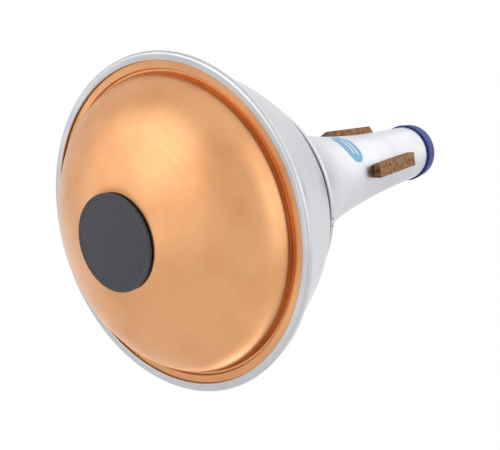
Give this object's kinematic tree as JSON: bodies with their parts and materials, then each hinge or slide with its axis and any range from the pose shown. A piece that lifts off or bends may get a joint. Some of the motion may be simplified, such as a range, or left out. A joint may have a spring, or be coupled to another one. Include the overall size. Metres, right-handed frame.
{
  "type": "trombone straight mute",
  "caption": "Straight mute for a tenor trombone: flared metal neck with cork strips, rounded bowl and domed copper base with a pad.",
  "frame": {"origin": "centre of the base pad's underside, the mute standing on its pad", "axes": "+Z along the mute's axis towards the small end that goes into the bell; +X and +Y any two directions across it"},
  "size_m": [0.15, 0.15, 0.2382],
  "materials": {
    "aluminium": "spun satin",
    "copper": "polished copper",
    "rubber": "matte",
    "tape": "matte",
    "cork": "natural agglomerated cork",
    "blue_plastic": "satin"
  },
  "bodies": {
    "root": {"neck_cone": "aluminium", "bowl_shell": "aluminium", "base_dome": "copper", "base_pad": "rubber", "pad_tape": "tape", "end_ring": "blue_plastic", "cork_strip_1": "cork", "cork_strip_2": "cork", "cork_strip_3": "cork"}
  },
  "joints": []
}
